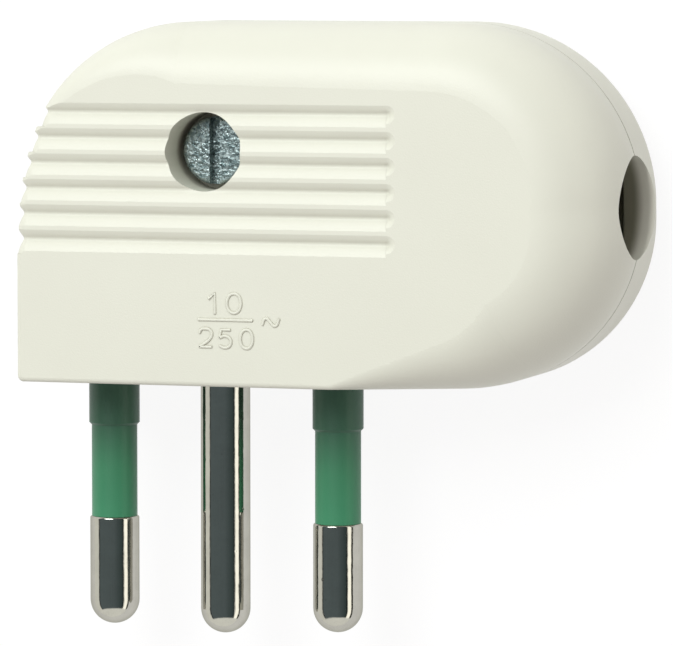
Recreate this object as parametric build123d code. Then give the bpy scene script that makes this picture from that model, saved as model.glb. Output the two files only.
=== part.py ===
from build123d import *
import os
from math import cos, radians, sin, sqrt

# Angled three-pin mains plug with a round cord end, split along its mid plane into two moulded shells.
# It lies on its back: front face up, pins towards -Y, cord exit towards +X.
# While it is drawn, x = 0 is the earth pin, y = 0 the engagement face and z = 0 the parting plane.

# Body outline seen from the front
left_reach = 14.7
cord_end_reach = 34.4
body_height = 28.65
half_thickness = 8.5
heel_tuck = 1.1
shoulder_lead = 0.76
shoulder_turn = 24.0
crown_radius = 12.6
base_corner_radius = 0.5

# Rounding between face and side wall, which grows and shrinks round the outline.
# The front is domed over the cord end, down to a narrow wall; the rear keeps more of its wall.
base_edge_round = 0.4
left_edge_round = 0.8
front_crown_round = 5.0
front_top_round = 5.5
front_end_round = 7.0
front_end_wall = 0.3
front_heel_round = 6.6
front_heel_wall = 1.0
rear_crown_round = 4.5
rear_top_round = 5.0
rear_end_round = 4.3
rear_heel_round = 3.6
heel_angle = 25.0
heel_run_out = 11.5
round_lift = 0.001

# Grip grooves across the face and round the left edge
groove_count = 6
groove_pitch = 2.025
top_groove_drop = 7.08
groove_upper_flank = 0.8
groove_lower_flank = 1.1
groove_depth = 0.5
groove_bulge = 0.08
groove_valley_round = 0.3
groove_run_on = 0.06
groove_end_x = 16.1

# Moulding
shell_wall = 2.0
cavity_round = 4.4
cross_wall = 1.6
saddle_wall = 1.2
seam_width = 0.16
seam_depth = 0.2
clearance = 0.1
overcut = 1.0

# Pins, in line, each necked where the base wall closes round it
pin_pitch = 9.5
pin_diameter = 4.0
pin_neck_diameter = 3.5
neck_gap = 0.2
base_recess_depth = 0.6
shank_edge_round = 0.2
power_pin_reach = 20.2
earth_pin_reach = 20.6
terminal_diameter = 6.4
terminal_length = 8.5
terminal_edge = 0.3
wire_bore_diameter = 3.0
wire_bore_depth = 6.0

# Insulating sleeves of the two power pins
sleeve_reach = 11.4
sleeve_diameter = 3.69
sleeve_bore = 3.0
collar_reach = 4.0
collar_step = 0.2

# Terminal screws, driven in from the front
terminal_screw_drop = 3.7
terminal_screw_diameter = 2.9
terminal_screw_length = 3.9
terminal_seat_z = 2.8
terminal_head_diameter = 4.4
terminal_head_thickness = 1.8
saddle_spacing = 6.0
slot_width = 0.86
slot_depth = 0.9

# Closing screw and the brass insert that it goes into
closing_screw_x = 1.0
closing_screw_drop = 10.15
screw_recess_diameter = 6.25
screw_recess_depth = 5.0
closing_screw_diameter = 2.9
screw_tip_gap = 0.5
closing_head_diameter = 5.35
closing_head_thickness = 2.0
head_edge = 0.3
screw_boss_diameter = 9.8
insert_diameter = 5.0
insert_length = 6.0
insert_sink = 0.5

# Cord entry, and the clamp that bridges the cord behind it
cord_axis_drop = 0.115
cord_hole_diameter = 8.2
cord_mouth_round = 0.4
clamp_gap = 7.4
clamp_width = 6.0
clamp_thickness = 1.6
clamp_arch_radius = 3.2
clamp_foot_margin = 2.4
clamp_screw_diameter = 2.5
clamp_screw_length = 7.0
clamp_head_diameter = 4.4
clamp_head_thickness = 1.8
clamp_head_gap = 0.25
clamp_post_diameter = 5.6

# Sizes that follow
face_z = half_thickness
cavity_z = half_thickness - shell_wall
end_radius = body_height / 2
heel_radius = end_radius - heel_tuck
end_centre_x = cord_end_reach - end_radius
top_groove_height = body_height - top_groove_drop
last_groove_height = top_groove_height - (groove_count - 1) * groove_pitch
shoulder_start = last_groove_height + shoulder_lead
crown_rise = crown_radius * (1 - sin(radians(shoulder_turn)))
shoulder_rise = body_height - shoulder_start - crown_rise
shoulder_radius = shoulder_rise / sin(radians(shoulder_turn))
pin_places = {"line": -pin_pitch, "earth": 0.0, "neutral": pin_pitch}
pin_bore_diameter = pin_neck_diameter + 2 * clearance
base_recess_diameter = max(pin_diameter, sleeve_diameter + 2 * collar_step) + 2 * clearance
pocket_width = terminal_diameter + 2 * clearance
terminal_start = shell_wall + clearance
terminal_end = terminal_start + terminal_length
terminal_screw_height = terminal_end - terminal_screw_drop
pocket_top = terminal_end + clearance
block_top = pocket_top + cross_wall
block_right = pin_pitch + pocket_width / 2 + cross_wall
closing_screw_height = body_height - closing_screw_drop
screw_seat_z = face_z - screw_recess_depth
closing_screw_length = screw_seat_z + insert_sink + insert_length - screw_tip_gap
cord_axis_height = end_radius - cord_axis_drop
clamp_x = cord_end_reach - shell_wall - clamp_gap - clamp_width / 2
clamp_arch_foot = sqrt((clamp_arch_radius + clamp_thickness) ** 2 - clamp_thickness**2)
clamp_screw_offset = clamp_arch_foot + clamp_head_gap + clamp_head_diameter / 2
clamp_screw_heights = [cord_axis_height - clamp_screw_offset, cord_axis_height + clamp_screw_offset]

# How far the roundings of each shell reach over its face and down its wall
front_rounds = {
    "crown": (front_crown_round, front_crown_round),
    "top": (front_top_round, front_top_round),
    "end": (front_end_round, half_thickness - front_end_wall),
    "heel": (front_heel_round, half_thickness - front_heel_wall),
}
rear_rounds = {
    "crown": (rear_crown_round, rear_crown_round),
    "top": (rear_top_round, rear_top_round),
    "end": (rear_end_round, rear_end_round),
    "heel": (rear_heel_round, rear_heel_round),
}


def outline_runs():
    """Runs of the body outline, clockwise from above the lower left corner."""
    wall = Line((-left_reach, base_corner_radius), (-left_reach, shoulder_start))
    shoulder = JernArc(wall @ 1, wall % 1, shoulder_radius, -shoulder_turn)
    crown = JernArc(shoulder @ 1, shoulder % 1, crown_radius, shoulder_turn - 90)
    top = Line(crown @ 1, (end_centre_x, body_height))
    upper_end = JernArc(top @ 1, top % 1, end_radius, -90)
    end_wall = Line(upper_end @ 1, (cord_end_reach, heel_radius))
    lower_end = JernArc(end_wall @ 1, end_wall % 1, heel_radius, heel_angle - 90)
    heel = JernArc(lower_end @ 1, lower_end % 1, heel_radius, -heel_angle)
    base = Line(heel @ 1, (base_corner_radius - left_reach, 0))
    corner = JernArc(base @ 1, base % 1, base_corner_radius, -90)
    return wall, shoulder, crown, top, upper_end, end_wall, lower_end, heel, base, corner


def body_outline():
    """Face inside the body outline."""
    return make_face(Wire(outline_runs()))


def round_section(place, along, reach, depth):
    """What a rounding takes off the corner between face and wall, square to the outline."""
    centre_x = (round_lift - 1) * reach
    centre_y = face_z + (round_lift - 1) * depth
    top_point = (centre_x, centre_y + depth)
    side_point = (centre_x + reach, centre_y)
    arc = EllipticalCenterArc((centre_x, centre_y), reach, depth, arc_size=90)
    outside = Polyline(
        side_point,
        (overcut, centre_y),
        (overcut, face_z + overcut),
        (centre_x, face_z + overcut),
        top_point,
    )
    outward = Vector(-along.Y, along.X, 0)
    return Plane(origin=place, x_dir=outward, z_dir=along) * make_face(arc.edges() + outside.edges())


def edge_rounding(runs, first_size, last_size):
    """Cutter that rounds the face edge along these runs, from one reach and depth to the other."""
    path = Wire(runs)
    first = round_section(runs[0] @ 0, runs[0] % 0, *first_size)
    last = round_section(runs[-1] @ 1, runs[-1] % 1, *last_size)
    return sweep([first, last], path, multisection=True)


def edge_roundings(rounds):
    """All cutters for the edge of one half, in order round the outline."""
    wall, shoulder, crown, top, upper_end, end_wall, lower_end, heel, base, corner = outline_runs()
    ribbed_wall = Line((-left_reach, last_groove_height), wall @ 1)
    plain_wall = Line(wall @ 0, (-left_reach, last_groove_height))
    run_out = Line(base @ 0, (heel_run_out, 0))
    plain_base = Line((heel_run_out, 0), base @ 1)
    left_size = (left_edge_round, left_edge_round)
    base_size = (base_edge_round, base_edge_round)
    return [
        edge_rounding([ribbed_wall, shoulder], left_size, left_size),
        edge_rounding([crown], left_size, rounds["crown"]),
        edge_rounding([top], rounds["crown"], rounds["top"]),
        edge_rounding([upper_end], rounds["top"], rounds["end"]),
        edge_rounding([end_wall, lower_end], rounds["end"], rounds["heel"]),
        edge_rounding([heel, run_out], rounds["heel"], base_size),
        edge_rounding([plain_base, corner, plain_wall], base_size, base_size),
    ]


def left_edge(height):
    """Place of the left outline at a height above the engagement face."""
    if height <= shoulder_start:
        return -left_reach
    if height <= shoulder_start + shoulder_rise:
        rise = height - shoulder_start
        return shoulder_radius - left_reach - sqrt(shoulder_radius**2 - rise**2)
    inset = (shoulder_radius - crown_radius) * cos(radians(shoulder_turn))
    crown_centre_x = shoulder_radius - left_reach - inset
    rise = height - (body_height - crown_radius)
    return crown_centre_x - sqrt(crown_radius**2 - rise**2)


def groove_profile(upper_flank, lower_flank):
    """Section of a groove with a rounded valley, its bulging flanks run on past its mouth on y = 0."""
    valley = (0, -groove_depth)
    growth = 1 + groove_run_on / groove_depth
    upper_x = -upper_flank * growth
    lower_x = lower_flank * growth
    flanks = [
        SagittaArc((upper_x, groove_run_on), valley, groove_bulge),
        SagittaArc(valley, (lower_x, groove_run_on), groove_bulge),
    ]
    mouth = Polyline(
        (lower_x, groove_run_on),
        (lower_x, overcut),
        (upper_x, overcut),
        (upper_x, groove_run_on),
    )
    profile = make_face(flanks[0].edges() + flanks[1].edges() + mouth.edges())
    return fillet(profile.vertices().sort_by(Axis.Y)[0], groove_valley_round)


def grip_groove(height):
    """Groove between two reeds: along the face, round the left edge and down the side wall."""
    edge_x = left_edge(height)
    start = Vector(groove_end_x, height, face_z)
    bend_start = Vector(edge_x + left_edge_round, height, face_z)
    bend_end = Vector(edge_x, height, face_z - left_edge_round)
    bend_middle = Vector(
        edge_x + left_edge_round * (1 - sqrt(0.5)),
        height,
        face_z - left_edge_round * (1 - sqrt(0.5)),
    )
    path = Wire(
        [
            Line(start, bend_start),
            ThreePointArc(bend_start, bend_middle, bend_end),
            Line(bend_end, Vector(edge_x, height, -overcut)),
        ]
    )
    across = Plane(origin=start, x_dir=(0, -1, 0), z_dir=(-1, 0, 0))
    section = across * groove_profile(groove_upper_flank, groove_lower_flank)
    half_room = Pos(groove_upper_flank, 0) * Rectangle(2 * groove_upper_flank, 4 * overcut)
    end_section = Plane.XZ * (groove_profile(groove_upper_flank, groove_upper_flank) & half_room)
    round_end = Pos(start) * revolve(end_section, Axis.Z)
    return sweep(section, path) + round_end


def seam_rebate():
    """Shallow step round the parting plane, half of the seam line that shows between the shells."""
    outline = body_outline()
    ring = offset(outline, overcut) - offset(outline, -seam_depth)
    return extrude(ring, seam_width / 2)


def outer_half(rounds):
    """Solid half of the body with its outer form, from the parting plane to the face."""
    half = extrude(body_outline(), half_thickness)
    for cutter in edge_roundings(rounds):
        half -= cutter
    for number in range(groove_count):
        half -= grip_groove(top_groove_height - number * groove_pitch)
    return half - seam_rebate()


def rod(diameter, length, place, axis):
    """Round bar that starts at a place and runs along an axis."""
    return Plane(origin=place, z_dir=axis) * extrude(Circle(diameter / 2), length)


def block(low, high):
    """Box between two opposite corners."""
    size = [high[i] - low[i] for i in range(3)]
    return Pos(*low) * Box(*size, align=(Align.MIN, Align.MIN, Align.MIN))


def cavity_room():
    """Space inside one half, before its partitions and bosses are left standing."""
    room = extrude(offset(body_outline(), -shell_wall), cavity_z)
    ceiling = room.faces().sort_by(Axis.Z)[-1]
    return fillet(ceiling.edges(), cavity_round)


def pin_pocket(pin_x):
    """Room for one terminal, with two saddle ribs left to carry it."""
    low = (pin_x - pocket_width / 2, shell_wall, 0)
    high = (pin_x + pocket_width / 2, pocket_top, cavity_z)
    room = block(low, high)
    for side in (-1, 1):
        middle = terminal_screw_height + side * saddle_spacing / 2
        room -= block(
            (low[0], middle - saddle_wall / 2, 0),
            (high[0], middle + saddle_wall / 2, cavity_z),
        )
    return room + rod(pocket_width, pocket_top - shell_wall, (pin_x, shell_wall, 0), (0, 1, 0))


def pin_and_wire_bores():
    """Bores on the parting plane: for each pin through the base, wider at the mouth, and for its wire."""
    bores = []
    for pin_x in pin_places.values():
        base = (pin_x, -overcut, 0)
        bores.append(rod(pin_bore_diameter, shell_wall + 2 * overcut, base, (0, 1, 0)))
        bores.append(rod(base_recess_diameter, base_recess_depth + overcut, base, (0, 1, 0)))
        top = (pin_x, pocket_top - overcut, 0)
        bores.append(rod(wire_bore_diameter, cross_wall + 2 * overcut, top, (0, 1, 0)))
    return bores


def cord_hole():
    """Hole for the cord through the end wall, its mouth rounded where the wall stands furthest out."""
    radius = cord_hole_diameter / 2
    lip_radius = radius + cord_mouth_round
    inner_x = cord_end_reach - 2 * shell_wall
    outer_x = cord_end_reach + overcut
    lip = JernArc((cord_end_reach - cord_mouth_round, radius), (1, 0), cord_mouth_round, 90)
    bore = Polyline(lip @ 1, (outer_x, lip_radius), (outer_x, 0), (inner_x, 0), (inner_x, radius), lip @ 0)
    return Pos(0, cord_axis_height) * revolve(make_face(lip.edges() + bore.edges()), Axis.X)


def half_shell(rounds, posts):
    """Hollow half with its pin block, pin pockets, screw boss, cord hole and any further posts."""
    pin_block = block((-left_reach, 0, 0), (block_right, block_top, face_z))
    screw_boss = rod(screw_boss_diameter, face_z, (closing_screw_x, closing_screw_height, 0), (0, 0, 1))
    hollow = cavity_room() - pin_block - screw_boss
    for post in posts:
        hollow -= post
    shell = outer_half(rounds) - hollow - cord_hole()
    for pin_x in pin_places.values():
        shell -= pin_pocket(pin_x)
    for bore in pin_and_wire_bores():
        shell -= bore
    return shell


def front_shell():
    """Half with the recess and the bore for the closing screw."""
    shell = half_shell(front_rounds, [])
    place = (closing_screw_x, closing_screw_height, screw_seat_z)
    shell -= rod(screw_recess_diameter, screw_recess_depth + overcut, place, (0, 0, 1))
    shank_bore = closing_screw_diameter + 2 * clearance
    return shell - rod(shank_bore, screw_seat_z + overcut, place, (0, 0, -1))


def rear_shell():
    """Half with the clamp posts and the blind bore for the brass insert, turned face down."""
    pilot_depth = clamp_screw_length - clamp_thickness + clearance
    posts = []
    pilots = []
    for height in clamp_screw_heights:
        place = (clamp_x, height, 0)
        posts.append(rod(clamp_post_diameter, face_z, place, (0, 0, 1)))
        pilots.append(rod(clamp_screw_diameter, pilot_depth, place, (0, 0, 1)))
    shell = half_shell(rear_rounds, posts)
    for pilot in pilots:
        shell -= pilot
    place = (closing_screw_x, closing_screw_height, 0)
    shell -= rod(insert_diameter, insert_sink + insert_length, place, (0, 0, 1))
    return mirror(shell, Plane.XY)


def turned_pin(reach, neck_diameter, shank_start):
    """Brass pin with a pillar terminal bored for the wire, a neck and a round-ended shank."""
    radius = pin_diameter / 2
    neck = neck_diameter / 2
    pillar = terminal_diameter / 2
    upper = Polyline(
        (0, terminal_end),
        (pillar - terminal_edge, terminal_end),
        (pillar, terminal_end - terminal_edge),
        (pillar, terminal_start),
        (neck, terminal_start),
        (neck, -shank_start),
        (radius - shank_edge_round, -shank_start),
    )
    edge_inset = shank_edge_round * (1 - sqrt(0.5))
    edge = ThreePointArc(
        (radius - shank_edge_round, -shank_start),
        (radius - edge_inset, -shank_start - edge_inset),
        (radius, -shank_start - shank_edge_round),
    )
    shank = Line((radius, -shank_start - shank_edge_round), (radius, radius - reach))
    tip_middle = (radius * sqrt(0.5), radius - reach - radius * sqrt(0.5))
    tip = ThreePointArc((radius, radius - reach), tip_middle, (0, -reach))
    axis_line = Line((0, -reach), (0, terminal_end))
    edges = upper.edges() + edge.edges() + shank.edges() + tip.edges() + axis_line.edges()
    pin = revolve(make_face(edges), Axis.Y)
    wire_bore_end = (0, terminal_end - wire_bore_depth, 0)
    pin -= rod(wire_bore_diameter, wire_bore_depth + overcut, wire_bore_end, (0, 1, 0))
    seat = (0, terminal_screw_height, terminal_seat_z)
    pin -= rod(terminal_head_diameter + 2 * clearance, terminal_diameter, seat, (0, 0, 1))
    screw_bore_depth = terminal_screw_length + clearance
    return pin - rod(terminal_screw_diameter + 2 * clearance, screw_bore_depth, seat, (0, 0, -1))


def pin_sleeve():
    """Insulating sleeve, necked inside the base and thicker where it comes out of it."""
    bore = sleeve_bore / 2
    neck = pin_neck_diameter / 2
    tube = sleeve_diameter / 2
    collar = tube + collar_step
    profile = Polyline(
        (bore, shell_wall),
        (neck, shell_wall),
        (neck, -neck_gap),
        (collar, -neck_gap),
        (collar, collar_step - collar_reach),
        (tube, -collar_reach),
        (tube, -sleeve_reach),
        (bore, -sleeve_reach),
        close=True,
    )
    return revolve(make_face(profile.edges()), Axis.Y)


def slotted_screw(shank_diameter, shank_length, head_diameter, head_thickness):
    """Cheese-head screw whose head sits on z = 0, slotted along Y."""
    head = rod(head_diameter, head_thickness, (0, 0, 0), (0, 0, 1))
    head = fillet(head.edges().sort_by(Axis.Z)[-1], head_edge)
    slot_low = (-slot_width / 2, -head_diameter, head_thickness - slot_depth)
    slot_high = (slot_width / 2, head_diameter, head_thickness + overcut)
    head -= block(slot_low, slot_high)
    return head + rod(shank_diameter, shank_length, (0, 0, 0), (0, 0, -1))


def brass_insert():
    """Plain bush below z = 0, tapped for the closing screw."""
    bush = rod(insert_diameter, insert_length, (0, 0, 0), (0, 0, -1))
    return bush - rod(closing_screw_diameter + 2 * clearance, insert_length, (0, 0, 0), (0, 0, -1))


def cord_clamp():
    """Bridge that presses the cord down, screwed to the two posts of the rear shell."""
    foot_reach = clamp_screw_offset + clamp_foot_margin
    start_x = clamp_x - clamp_width / 2
    arch_start = (start_x, cord_axis_height, 0)
    bar = block(
        (start_x, cord_axis_height - foot_reach, 0),
        (start_x + clamp_width, cord_axis_height + foot_reach, clamp_thickness),
    )
    bar += rod(2 * (clamp_arch_radius + clamp_thickness), clamp_width, arch_start, (1, 0, 0))
    bar -= rod(2 * clamp_arch_radius, clamp_width, arch_start, (1, 0, 0))
    bar -= block((start_x, 0, -face_z), (start_x + clamp_width, body_height, 0))
    for height in clamp_screw_heights:
        bar -= rod(clamp_screw_diameter + 2 * clearance, clamp_thickness, (clamp_x, height, 0), (0, 0, 1))
    return bar


def all_parts():
    """Every piece by name, placed in the drawing frame."""
    parts = {
        "front_shell": front_shell(),
        "rear_shell": rear_shell(),
        "earth_pin": turned_pin(earth_pin_reach, pin_neck_diameter, neck_gap),
        "cord_clamp": cord_clamp(),
    }
    for name in ("line", "neutral"):
        place = Pos(pin_places[name], 0, 0)
        parts[f"{name}_pin"] = place * turned_pin(power_pin_reach, sleeve_bore, sleeve_reach)
        parts[f"{name}_sleeve"] = place * pin_sleeve()
    terminal_screw = slotted_screw(
        terminal_screw_diameter, terminal_screw_length, terminal_head_diameter, terminal_head_thickness
    )
    for name, pin_x in pin_places.items():
        parts[f"{name}_terminal_screw"] = Pos(pin_x, terminal_screw_height, terminal_seat_z) * terminal_screw
    closing_screw = slotted_screw(
        closing_screw_diameter, closing_screw_length, closing_head_diameter, closing_head_thickness
    )
    closing_place = Pos(closing_screw_x, closing_screw_height, 0)
    parts["closing_screw"] = closing_place * Pos(0, 0, screw_seat_z) * closing_screw
    parts["closing_insert"] = closing_place * Pos(0, 0, -insert_sink) * brass_insert()
    clamp_screw = slotted_screw(
        clamp_screw_diameter, clamp_screw_length, clamp_head_diameter, clamp_head_thickness
    )
    for name, height in zip(("lower", "upper"), clamp_screw_heights):
        parts[f"{name}_clamp_screw"] = Pos(clamp_x, height, clamp_thickness) * clamp_screw
    return parts


# The finished plug rests on its rear face, centred over the origin
os.makedirs("parts", exist_ok=True)
finished = all_parts()
box = Compound(list(finished.values())).bounding_box()
resting_place = Pos(-box.center().X, -box.center().Y, -box.min.Z)
for part_name, part in finished.items():
    export_step(resting_place * part, f"parts/{part_name}.step")
print("drawing origin lies at", resting_place.position)
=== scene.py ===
from math import cos, pi, radians, sin

import bmesh
import bpy
from mathutils import Matrix, Vector


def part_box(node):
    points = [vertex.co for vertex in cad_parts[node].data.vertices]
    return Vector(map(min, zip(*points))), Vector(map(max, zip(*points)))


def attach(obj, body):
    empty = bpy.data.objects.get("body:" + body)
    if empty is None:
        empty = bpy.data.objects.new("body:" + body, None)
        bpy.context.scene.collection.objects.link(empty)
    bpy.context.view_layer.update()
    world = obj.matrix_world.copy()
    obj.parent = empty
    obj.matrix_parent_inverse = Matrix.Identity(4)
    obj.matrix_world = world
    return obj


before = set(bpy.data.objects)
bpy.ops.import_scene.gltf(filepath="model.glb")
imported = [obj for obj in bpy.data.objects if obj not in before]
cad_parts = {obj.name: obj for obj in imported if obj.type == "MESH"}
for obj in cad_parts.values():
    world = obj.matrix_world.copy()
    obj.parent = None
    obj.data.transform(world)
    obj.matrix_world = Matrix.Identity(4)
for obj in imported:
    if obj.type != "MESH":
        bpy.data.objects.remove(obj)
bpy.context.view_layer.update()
MM = 0.001
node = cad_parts


# The two shells are injection-moulded ivory urea, closed on each other at mid thickness.
# Their faces carry a fine spark-eroded grain and the faint cloudiness of a thick moulding.
def add(tree, kind, place, **values):
    """Node of a kind in a tree. Each value sets an attribute or input by name, or links a socket to it."""
    made = tree.nodes.new(kind)
    made.location = place
    by_order = {"first": 0, "second": 1, "third": 2}
    for name, value in values.items():
        if hasattr(made, name):
            setattr(made, name, value)
            continue
        entry = made.inputs[by_order.get(name, name.replace("_", " "))]
        if isinstance(value, bpy.types.NodeSocket):
            tree.links.new(value, entry)
        else:
            entry.default_value = value
    return made


def finish_group(name, inputs):
    """Empty shader group with these inputs, and with a colour, a roughness and a height as outputs."""
    tree = bpy.data.node_groups.new(name, "ShaderNodeTree")
    for label, value in inputs.items():
        kind = "NodeSocketColor" if isinstance(value, tuple) else "NodeSocketFloat"
        tree.interface.new_socket(name=label, in_out="INPUT", socket_type=kind).default_value = value
    tree.interface.new_socket(name="Colour", in_out="OUTPUT", socket_type="NodeSocketColor")
    for label in ("Roughness", "Height"):
        tree.interface.new_socket(name=label, in_out="OUTPUT", socket_type="NodeSocketFloat")
    return tree


def moulded_grain():
    """Group for moulded plastic: cloudy colour, uneven sheen and a fine eroded grain."""
    inputs = {
        "Colour": (0.8, 0.8, 0.8, 1),
        "Deep Colour": (0.7, 0.7, 0.7, 1),
        "Grain Scale": 6000.0,
        "Sheen Low": 0.4,
        "Sheen High": 0.5,
    }
    tree = finish_group("moulded_grain", inputs)
    given = add(tree, "NodeGroupInput", (-900, 0)).outputs
    place = add(tree, "ShaderNodeTexCoord", (-900, 300)).outputs["Object"]
    cloud = add(
        tree, "ShaderNodeTexNoise", (-600, 300),
        Vector=place, Scale=160.0, Detail=4.0, Roughness=0.55,
    )
    grain = add(
        tree, "ShaderNodeTexNoise", (-600, -250),
        Vector=place, Scale=given["Grain Scale"], Detail=3.0, Roughness=0.6,
    )
    tint = add(
        tree, "ShaderNodeMix", (100, 200),
        data_type="RGBA", Factor=cloud.outputs["Fac"], A=given["Colour"], B=given["Deep Colour"],
    )
    sheen = add(
        tree, "ShaderNodeMapRange", (100, -100),
        Value=grain.outputs["Fac"], To_Min=given["Sheen Low"], To_Max=given["Sheen High"],
    )
    add(
        tree, "NodeGroupOutput", (500, 0),
        Colour=tint.outputs["Result"], Roughness=sheen.outputs["Result"], Height=grain.outputs["Fac"],
    )
    return tree


def finish_from(name, group, bump, group_values, shader_values, bump_height=0.05 * MM):
    """Material whose colour, roughness and relief come from a group, with the plain values on the shader."""
    made = bpy.data.materials.new(name)
    made.use_nodes = True
    tree = made.node_tree
    tree.nodes.clear()
    effect = add(tree, "ShaderNodeGroup", (-600, 0), node_tree=group, name="effect")
    for key, value in group_values.items():
        effect.inputs[key].default_value = value
    relief = add(
        tree, "ShaderNodeBump", (-300, -200),
        Strength=bump, Distance=bump_height, Height=effect.outputs["Height"],
    )
    surface = add(
        tree, "ShaderNodeBsdfPrincipled", (0, 0), name="surface",
        Base_Color=effect.outputs["Colour"],
        Roughness=effect.outputs["Roughness"],
        Normal=relief.outputs["Normal"],
    )
    for key, value in shader_values.items():
        surface.inputs[key].default_value = value
    add(tree, "ShaderNodeOutputMaterial", (300, 0), Surface=surface.outputs["BSDF"])
    return made


def dress(names, material):
    """Gives CAD nodes this material in place of their plain one."""
    for name in names:
        slots = node[name].data.materials
        slots.clear()
        slots.append(material)


grain_group = moulded_grain()
ivory = finish_from(
    "moulded_ivory",
    grain_group,
    bump=0.25,
    group_values={
        "Colour": (0.81, 0.825, 0.715, 1),
        "Deep Colour": (0.78, 0.79, 0.685, 1),
        "Grain Scale": 7000.0,
        "Sheen Low": 0.36,
        "Sheen High": 0.5,
    },
    shader_values={"IOR": 1.5},
)
dress(["rear_shell", "front_shell"], ivory)

# Painted shade darkens the corners of the moulding, where less light reaches: the valleys of the grip,
# the recess, the parting line. Openness runs from 1 on a free face down to 0 in a closed corner.
corner_reach = 0.8 * MM
unshaded_openness = 0.92
shaded_openness = 0.5
corner_shade_tint = (0.66, 0.64, 0.62, 1)
tree = ivory.node_tree
corner = add(tree, "ShaderNodeAmbientOcclusion", (-900, 200), samples=12, Distance=corner_reach)
depth = add(
    tree, "ShaderNodeMapRange", (-700, 200),
    Value=corner.outputs["AO"], From_Min=unshaded_openness, From_Max=shaded_openness,
)
# Painted corner shade: the moulded colour is multiplied darker where the corner is closed.
corner_shaded = add(
    tree, "ShaderNodeMix", (-400, 300),
    data_type="RGBA",
    blend_type="MULTIPLY",
    Factor=depth.outputs["Result"],
    A=tree.nodes["effect"].outputs["Colour"],
    B=corner_shade_tint,
)

# The inside of the cord end gets little light and is toned dark: a box of room behind the hole, and the
# hole's own bore, where the tone fades out towards the mouth.
hollow_low = Vector((12.1, 4.0, 1.6)) * MM
hollow_high = Vector((22.0, 16.4, 9.6)) * MM
hollow_colour = (0.26, 0.26, 0.19, 1)
bore_start = Vector((20.0, 10.185, 8.5)) * MM
bore_length = 3.8 * MM
bore_radius = 4.13 * MM
fade_from = 0.75
place = add(tree, "ShaderNodeTexCoord", (-1500, 500)).outputs["Object"]
in_box = add(
    tree, "ShaderNodeMapping", (-1300, 500),
    vector_type="TEXTURE",
    Vector=place,
    Location=(hollow_low + hollow_high) / 2,
    Scale=(hollow_high - hollow_low) / 2,
)
reach = add(tree, "ShaderNodeVectorMath", (-1100, 500), operation="ABSOLUTE", first=in_box.outputs["Vector"])
sides = add(tree, "ShaderNodeSeparateXYZ", (-900, 500), Vector=reach.outputs["Vector"]).outputs
wider = add(tree, "ShaderNodeMath", (-700, 550), operation="MAXIMUM", first=sides["X"], second=sides["Y"])
widest = add(
    tree, "ShaderNodeMath", (-500, 500),
    operation="MAXIMUM", first=wider.outputs["Value"], second=sides["Z"],
)
in_hollow = add(
    tree, "ShaderNodeMath", (-300, 500),
    operation="LESS_THAN", first=widest.outputs["Value"], second=1.0,
)
in_bore = add(
    tree, "ShaderNodeMapping", (-1300, 800),
    vector_type="TEXTURE", Vector=place, Location=bore_start, Scale=(bore_length, bore_radius, bore_radius),
)
flat = add(
    tree, "ShaderNodeVectorMath", (-1100, 800),
    operation="MULTIPLY", first=in_bore.outputs["Vector"], second=(0, 1, 1),
)
spread = add(tree, "ShaderNodeVectorMath", (-900, 800), operation="LENGTH", first=flat.outputs["Vector"])
near_axis = add(
    tree, "ShaderNodeMath", (-700, 800),
    operation="LESS_THAN", first=spread.outputs["Value"], second=1.0,
)
along = add(tree, "ShaderNodeSeparateXYZ", (-1100, 1000), Vector=in_bore.outputs["Vector"]).outputs["X"]
fading = add(
    tree, "ShaderNodeMapRange", (-900, 1000),
    interpolation_type="SMOOTHSTEP", Value=along, From_Min=1.0, From_Max=fade_from,
)
past_start = add(tree, "ShaderNodeMath", (-900, 1200), operation="GREATER_THAN", first=along, second=0.0)
outward = add(
    tree, "ShaderNodeMath", (-700, 1000),
    operation="MULTIPLY", first=fading.outputs["Result"], second=past_start.outputs["Value"],
)
bore_dark = add(
    tree, "ShaderNodeMath", (-500, 800),
    operation="MULTIPLY", first=near_axis.outputs["Value"], second=outward.outputs["Value"],
)
all_dark = add(
    tree, "ShaderNodeMath", (-300, 700),
    operation="MAXIMUM", first=in_hollow.outputs["Value"], second=bore_dark.outputs["Value"],
)
toned = add(
    tree, "ShaderNodeMix", (-150, 300),
    data_type="RGBA", Factor=all_dark.outputs["Value"], A=corner_shaded.outputs["Result"], B=hollow_colour,
)
tree.links.new(toned.outputs["Result"], tree.nodes["surface"].inputs["Base Color"])


# The rating stands on the face in low raised figures, moulded with the front shell: a current over a bar,
# a voltage under it and the wave for alternating current. Each stroke is a thin half-round ridge.
stroke_radius = 0.125 * MM
face_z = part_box("front_shell")[1][2]
one = [("VECTOR", False, [(0, 0.72), (1, 1), (1, 0)])]
nought = [("AUTO", True, [(0.5, 1), (0, 0.5), (0.5, 0), (1, 0.5)])]
two = [
    ("AUTO", False, [(0, 0.74), (0.14, 0.94), (0.48, 1), (0.86, 0.92), (1, 0.7), (0.84, 0.44), (0, 0)]),
    ("VECTOR", False, [(0, 0), (1, 0)]),
]
five = [
    ("VECTOR", False, [(0.95, 1), (0.14, 1), (0, 0.55)]),
    ("AUTO", False, [(0, 0.55), (0.46, 0.65), (0.88, 0.53), (1, 0.31), (0.84, 0.08), (0.45, 0), (0, 0.1)]),
]
wave = [("AUTO", False, [(0, 0.1), (0.22, 0.95), (0.5, 0.45), (0.76, 0), (1, 0.95)])]
rule = [("VECTOR", False, [(0, 0), (1, 0)])]
rating = [
    (one, (-8.35, 1.76, -7.81, 3.38)),
    (nought, (-6.81, 1.84, -5.64, 3.38)),
    (rule, (-9.20, 1.29, -4.67, 1.29)),
    (two, (-9.10, -0.85, -8.06, 0.58)),
    (five, (-7.42, -0.89, -6.47, 0.52)),
    (nought, (-5.70, -0.92, -4.67, 0.56)),
    (wave, (-3.90, 0.90, -2.48, 1.51)),
]

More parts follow.
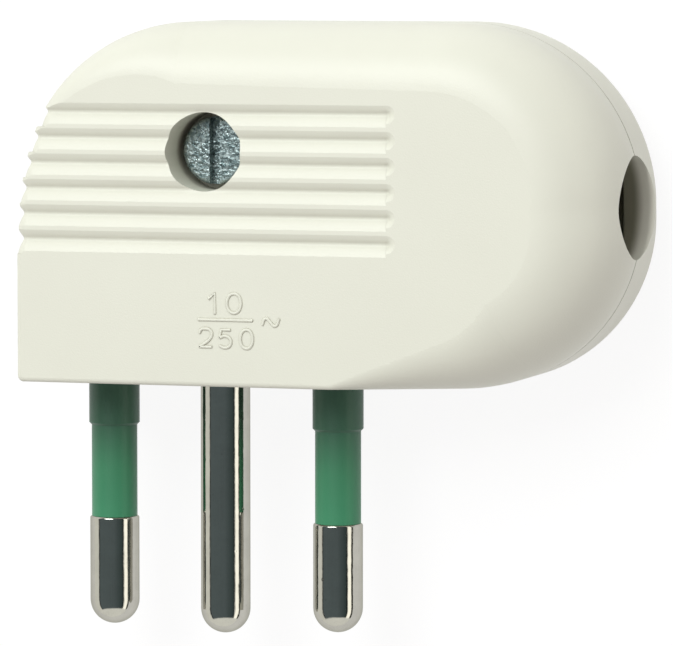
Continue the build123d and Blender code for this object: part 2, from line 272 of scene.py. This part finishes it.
curve = bpy.data.curves.new("rating_figures", "CURVE")
curve.dimensions = "3D"
curve.bevel_depth = stroke_radius
curve.bevel_resolution = 3
curve.use_fill_caps = True
for strokes, (low_x, low_y, high_x, high_y) in rating:
    for handles, closed, points in strokes:
        spline = curve.splines.new("BEZIER")
        spline.bezier_points.add(len(points) - 1)
        spline.use_cyclic_u = closed
        for bend, (across, up) in zip(spline.bezier_points, points):
            bend.co = Vector((low_x + across * (high_x - low_x), low_y + up * (high_y - low_y), 0)) * MM
            bend.handle_left_type = handles
            bend.handle_right_type = handles
stand = bpy.data.objects.new("rating_figures", curve)
mesh = bpy.data.meshes.new_from_object(stand)
bpy.data.objects.remove(stand)
mesh.transform(Matrix.Translation((0, 0, face_z)))
mesh.materials.clear()
mesh.materials.append(ivory)
rating_figures = bpy.data.objects.new("rating_figures", mesh)
bpy.context.scene.collection.objects.link(rating_figures)
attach(rating_figures, "root")


# The pins are turned from brass and bright nickel plated. Their shanks keep fine lengthwise drawing lines,
# a slight waviness, and a few small dents from being pushed into sockets.
def plated_marks():
    """Group for plated metal: drawing lines along Y, patches of tarnish, waviness and small dents."""
    inputs = {
        "Colour": (0.7, 0.7, 0.7, 1),
        "Dull Colour": (0.5, 0.5, 0.5, 1),
        "Line Scale": 9000.0,
        "Speck Scale": 1500.0,
        "Sheen Low": 0.12,
        "Sheen High": 0.3,
    }
    dent_rim = 0.10
    dent_floor = 0.03
    wave_share = 3.0
    dent_share = -5.0
    tree = finish_group("plated_marks", inputs)
    given = add(tree, "NodeGroupInput", (-1100, 0)).outputs
    place = add(tree, "ShaderNodeTexCoord", (-1100, 300)).outputs["Object"]
    along = add(tree, "ShaderNodeMapping", (-900, 300), Vector=place, Scale=(1.0, 0.02, 1.0))
    lines = add(
        tree, "ShaderNodeTexNoise", (-600, 300),
        Vector=along.outputs["Vector"], Scale=given["Line Scale"], Detail=2.0,
    )
    waviness = add(tree, "ShaderNodeTexNoise", (-600, 550), Vector=place, Scale=1600.0, Detail=1.0)
    cloud = add(
        tree, "ShaderNodeTexNoise", (-600, 0),
        Vector=place, Scale=700.0, Detail=5.0, Roughness=0.65,
    )
    speck = add(tree, "ShaderNodeTexVoronoi", (-600, -300), Vector=place, Scale=given["Speck Scale"])
    dent = add(
        tree, "ShaderNodeMapRange", (-300, -300),
        Value=speck.outputs["Distance"], From_Min=dent_rim, From_Max=dent_floor,
    )
    patches = add(
        tree, "ShaderNodeMapRange", (-300, 0),
        Value=cloud.outputs["Fac"], From_Min=0.35, From_Max=0.65,
    )
    tarnish = add(
        tree, "ShaderNodeMath", (-100, -100),
        operation="MULTIPLY", first=patches.outputs["Result"], second=lines.outputs["Fac"],
    )
    dull = add(
        tree, "ShaderNodeMath", (50, 0),
        operation="MAXIMUM", first=tarnish.outputs["Value"], second=dent.outputs["Result"],
    )
    tint = add(
        tree, "ShaderNodeMix", (250, 200),
        data_type="RGBA", Factor=dull.outputs["Value"], A=given["Colour"], B=given["Dull Colour"],
    )
    sheen = add(
        tree, "ShaderNodeMapRange", (250, -100),
        Value=dull.outputs["Value"], To_Min=given["Sheen Low"], To_Max=given["Sheen High"],
    )
    wavy = add(
        tree, "ShaderNodeMath", (-100, 450),
        operation="MULTIPLY_ADD",
        first=waviness.outputs["Fac"],
        second=wave_share,
        third=lines.outputs["Fac"],
    )
    dented = add(
        tree, "ShaderNodeMath", (150, 450),
        operation="MULTIPLY_ADD",
        first=dent.outputs["Result"],
        second=dent_share,
        third=wavy.outputs["Value"],
    )
    add(
        tree, "NodeGroupOutput", (600, 0),
        Colour=tint.outputs["Result"], Roughness=sheen.outputs["Result"], Height=dented.outputs["Value"],
    )
    return tree


marks_group = plated_marks()
nickel = finish_from(
    "bright_nickel",
    marks_group,
    bump=0.05,
    group_values={
        "Colour": (0.50, 0.49, 0.44, 1),
        "Dull Colour": (0.41, 0.40, 0.36, 1),
        "Line Scale": 9000.0,
        "Speck Scale": 700.0,
        "Sheen Low": 0.05,
        "Sheen High": 0.16,
    },
    shader_values={"Metallic": 1.0, "Specular Tint": (0.62, 0.62, 0.58, 1)},
)
dress(["line_pin", "neutral_pin", "earth_pin"], nickel)


# The two power pins wear moulded green sleeves, so that no bare metal shows while they are half in.
# The green is painted darker towards the base, as painted shade from the body above it,
# and the thicker collar there is darkest, partly in its own darker tone and partly as painted shade.
def ramp(tree, place, share, stops):
    """Colour over a share from 0 to 1, with stops given as pairs of share and colour."""
    made = add(tree, "ShaderNodeValToRGB", place, Fac=share)
    elements = made.color_ramp.elements
    for number, (position, colour) in enumerate(stops):
        stop = elements[number] if number < 2 else elements.new(1.0)
        stop.position = position
        stop.color = (*colour, 1)
    return made.outputs["Color"]


sleeve_green = finish_from(
    "sleeve_green",
    grain_group,
    bump=0.2,
    group_values={"Grain Scale": 5000.0, "Sheen Low": 0.38, "Sheen High": 0.52},
    shader_values={"IOR": 1.46},
)
dress(["line_sleeve", "neutral_sleeve"], sleeve_green)

sleeve_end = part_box("line_sleeve")[0][1]
collar_end = -8.03 * MM
collar_root = -4.0 * MM
collar_step = 0.03 * MM
sleeve_middle = -11.5 * MM
# Sleeve colours by height: darker towards the base as painted shade, with the collar also darker in its own
# tone.
greens_and_painted_shade = [
    (sleeve_end, (0.054, 0.285, 0.142)),
    (sleeve_middle, (0.050, 0.238, 0.119)),
    (collar_end, (0.048, 0.152, 0.089)),
    (collar_end + collar_step, (0.043, 0.128, 0.077)),
    (collar_root, (0.042, 0.112, 0.071)),
]
deep_tint = (0.84, 0.86, 0.86, 1)
tree = sleeve_green.node_tree
place = add(tree, "ShaderNodeTexCoord", (-1400, 300)).outputs["Object"]
height = add(tree, "ShaderNodeSeparateXYZ", (-1250, 300), Vector=place).outputs["Y"]
along = add(tree, "ShaderNodeMapRange", (-1100, 300), Value=height, From_Min=sleeve_end, From_Max=collar_root)
shares = [((level - sleeve_end) / (collar_root - sleeve_end), colour) for level, colour in greens_and_painted_shade]
green = ramp(tree, (-950, 300), along.outputs["Result"], shares)
deep = add(
    tree, "ShaderNodeMix", (-800, 100),
    data_type="RGBA", blend_type="MULTIPLY", Factor=1.0, A=green, B=deep_tint,
)
effect = tree.nodes["effect"]
tree.links.new(green, effect.inputs["Colour"])
tree.links.new(deep.outputs["Result"], effect.inputs["Deep Colour"])


# Every screw is zinc plated, in small crystals that glitter. The closing screw is the one that shows,
# sunk in the recess of the front shell, and the terminal and clamp screws are inside.
def plate_crystals():
    """Group for zinc plate: crystals that differ in tone and sheen, over fine pits."""
    inputs = {
        "Dark Colour": (0.2, 0.2, 0.2, 1),
        "Bright Colour": (0.5, 0.5, 0.5, 1),
        "Sheen Low": 0.2,
        "Sheen High": 0.4,
    }
    tree = finish_group("plate_crystals", inputs)
    given = add(tree, "NodeGroupInput", (-1000, 200)).outputs
    place = add(tree, "ShaderNodeTexCoord", (-1000, 0)).outputs["Object"]
    pits = add(
        tree, "ShaderNodeTexNoise", (-800, -200),
        Vector=place, Scale=3600.0, Detail=2.5, Roughness=0.6,
    )
    crystals = add(tree, "ShaderNodeTexVoronoi", (-800, 200), Vector=place, Scale=4600.0)
    tone = add(tree, "ShaderNodeSeparateColor", (-600, 200), Color=crystals.outputs["Color"]).outputs
    tint = add(
        tree, "ShaderNodeMix", (-350, 200),
        data_type="RGBA", Factor=tone["Red"], A=given["Dark Colour"], B=given["Bright Colour"],
    )
    sheen = add(
        tree, "ShaderNodeMapRange", (-350, 0),
        Value=tone["Green"], To_Min=given["Sheen Low"], To_Max=given["Sheen High"],
    )
    add(
        tree, "NodeGroupOutput", (-100, 0),
        Colour=tint.outputs["Result"], Roughness=sheen.outputs["Result"], Height=pits.outputs["Fac"],
    )
    return tree


zinc = finish_from(
    "zinc_plate",
    plate_crystals(),
    bump=1.0,
    group_values={
        "Dark Colour": (0.13, 0.18, 0.185, 1),
        "Bright Colour": (0.44, 0.51, 0.51, 1),
        "Sheen Low": 0.16,
        "Sheen High": 0.42,
    },
    shader_values={"Metallic": 0.8},
    bump_height=0.09 * MM,
)
dress([name for name in node if name.endswith("_screw")], zinc)


# Two more pieces are hidden in the closed plug: the turned brass insert that the closing screw goes into,
# and the bar of black moulded nylon that clamps the cord.
brass = finish_from(
    "turned_brass",
    marks_group,
    bump=0.05,
    group_values={
        "Colour": (0.72, 0.53, 0.22, 1),
        "Dull Colour": (0.5, 0.36, 0.14, 1),
        "Sheen Low": 0.2,
        "Sheen High": 0.4,
    },
    shader_values={"Metallic": 1.0},
)
dress(["closing_insert"], brass)

black_nylon = finish_from(
    "black_nylon",
    grain_group,
    bump=0.3,
    group_values={
        "Colour": (0.03, 0.03, 0.03, 1),
        "Deep Colour": (0.02, 0.02, 0.02, 1),
        "Grain Scale": 5000.0,
        "Sheen Low": 0.4,
        "Sheen High": 0.55,
    },
    shader_values={"IOR": 1.5},
)
dress(["cord_clamp"], black_nylon)


# Studio: the plug lies on a white table. The camera and mirror-like surfaces see the table's own white with
# a faint shadow on it, and all other light meets a plain pale surface.
floor_reach = 3.0
table_white = bpy.data.materials.new("table_white")
table_white.use_nodes = True
tree = table_white.node_tree
tree.nodes.clear()
ray = add(tree, "ShaderNodeLightPath", (-800, 300)).outputs
seen = add(
    tree, "ShaderNodeMath", (-500, 300),
    operation="MAXIMUM", first=ray["Is Camera Ray"], second=ray["Is Glossy Ray"],
)
seen_all = add(
    tree, "ShaderNodeMath", (-300, 300),
    operation="MAXIMUM", first=seen.outputs["Value"], second=ray["Is Transmission Ray"],
)
plain = add(tree, "ShaderNodeBsdfDiffuse", (-300, 0), Color=(0.8, 0.8, 0.8, 1))
shaded = add(tree, "ShaderNodeBsdfDiffuse", (-300, -150), Color=(0.14, 0.14, 0.14, 1))
glow = add(tree, "ShaderNodeEmission", (-300, -300), Color=(1, 1, 1, 1), Strength=0.89)
white = add(
    tree, "ShaderNodeAddShader", (-50, -200),
    first=shaded.outputs["BSDF"], second=glow.outputs["Emission"],
)
choice = add(
    tree, "ShaderNodeMixShader", (150, 0),
    Fac=seen_all.outputs["Value"], second=plain.outputs["BSDF"], third=white.outputs["Shader"],
)
add(tree, "ShaderNodeOutputMaterial", (350, 0), Surface=choice.outputs["Shader"])

shape = bmesh.new()
bmesh.ops.create_grid(shape, x_segments=1, y_segments=1, size=floor_reach)
mesh = bpy.data.meshes.new("table")
shape.to_mesh(mesh)
shape.free()
mesh.materials.append(table_white)
table = bpy.data.objects.new("table", mesh)
bpy.context.scene.collection.objects.link(table)

# The room gives an even fill. Mirror-like surfaces see it by the angle about Y, in degrees from straight up:
# a dark card overhead, a bright wall on each side, and a pale end beyond the pins' tips.
room_stops = [
    (-63, (1.05, 1.05, 0.99)),
    (-59, (0.0, 0.0, 0.0)),
    (-53, (0.138, 0.174, 0.187)),
    (15, (0.127, 0.160, 0.173)),
    (53, (0.060, 0.086, 0.088)),
    (61, (0.01, 0.015, 0.015)),
    (66, (2.0, 1.96, 1.81)),
    (79, (2.0, 1.96, 1.81)),
    (83, (0.03, 0.03, 0.02)),
]
end_colour = (1.1, 1.1, 1.05, 1)
end_from = -0.62
end_full = -0.70
fill_colour = (1.0, 0.93, 0.92, 1)
world = bpy.data.worlds.new("studio_room")
world.use_nodes = True
bpy.context.scene.world = world
tree = world.node_tree
tree.nodes.clear()
ray = add(tree, "ShaderNodeLightPath", (-600, 300)).outputs
place = add(tree, "ShaderNodeTexCoord", (-1300, 0)).outputs["Generated"]
parts = add(tree, "ShaderNodeSeparateXYZ", (-1100, 0), Vector=place).outputs
angle = add(tree, "ShaderNodeMath", (-900, 0), operation="ARCTAN2", first=parts["X"], second=parts["Z"])
share = add(tree, "ShaderNodeMapRange", (-700, 0), Value=angle.outputs["Value"], From_Min=-pi, From_Max=pi)
shares = [(0.5 + degrees / 360, colour) for degrees, colour in room_stops]
around = ramp(tree, (-500, 0), share.outputs["Result"], shares)
beyond = add(tree, "ShaderNodeMapRange", (-700, -300), Value=parts["Y"], From_Min=end_from, From_Max=end_full)
mirrored = add(
    tree, "ShaderNodeMix", (-350, -100),
    data_type="RGBA", Factor=beyond.outputs["Result"], A=around, B=end_colour,
)
room = add(tree, "ShaderNodeBackground", (-200, 0), Color=mirrored.outputs["Result"], Strength=1.0)
fill = add(tree, "ShaderNodeBackground", (-200, 150), Color=fill_colour, Strength=0.48)
choice = add(
    tree, "ShaderNodeMixShader", (50, 100),
    Fac=ray["Is Glossy Ray"], second=fill.outputs["Background"], third=room.outputs["Background"],
)
add(tree, "ShaderNodeOutputWorld", (250, 100), Surface=choice.outputs["Shader"])

# One large soft lamp hangs above the plug, towards its top and a little to the left.
lamp_from = Vector((-0.2, 0.5, 0.84)).normalized()
lamp_distance = 0.6
lamp = bpy.data.lights.new("soft_lamp", "AREA")
lamp.shape = "SQUARE"
lamp.size = 0.35
lamp.energy = 2.5
lamp.color = (0.965, 1.0, 0.99)
lamp_stand = bpy.data.objects.new("soft_lamp", lamp)
lamp_stand.location = lamp_from * lamp_distance
lamp_stand.rotation_mode = "QUATERNION"
lamp_stand.rotation_quaternion = lamp_from.to_track_quat("Z", "Y")
bpy.context.scene.collection.objects.link(lamp_stand)

# The camera looks down on the plug, from a little to the right of its face and towards its top.
camera_yaw = radians(17.666)
camera_lift = radians(4.218)
camera_distance = 417.18 * MM
camera_target = Vector((-0.483, 0.605, 8.5)) * MM
back = Vector((sin(camera_yaw) * cos(camera_lift), sin(camera_lift), cos(camera_yaw) * cos(camera_lift)))
right = Vector((cos(camera_yaw), 0, -sin(camera_yaw)))
up = back.cross(right)
camera = bpy.data.cameras.new("camera")
camera.sensor_width = 36.0
camera.lens = 279.67
camera_stand = bpy.data.objects.new("camera", camera)
bpy.context.scene.collection.objects.link(camera_stand)
turn = Matrix((right, up, back)).transposed().to_4x4()
camera_stand.matrix_world = Matrix.Translation(camera_target + back * camera_distance) @ turn
bpy.context.scene.camera = camera_stand
bpy.context.scene.view_settings.view_transform = "Standard"
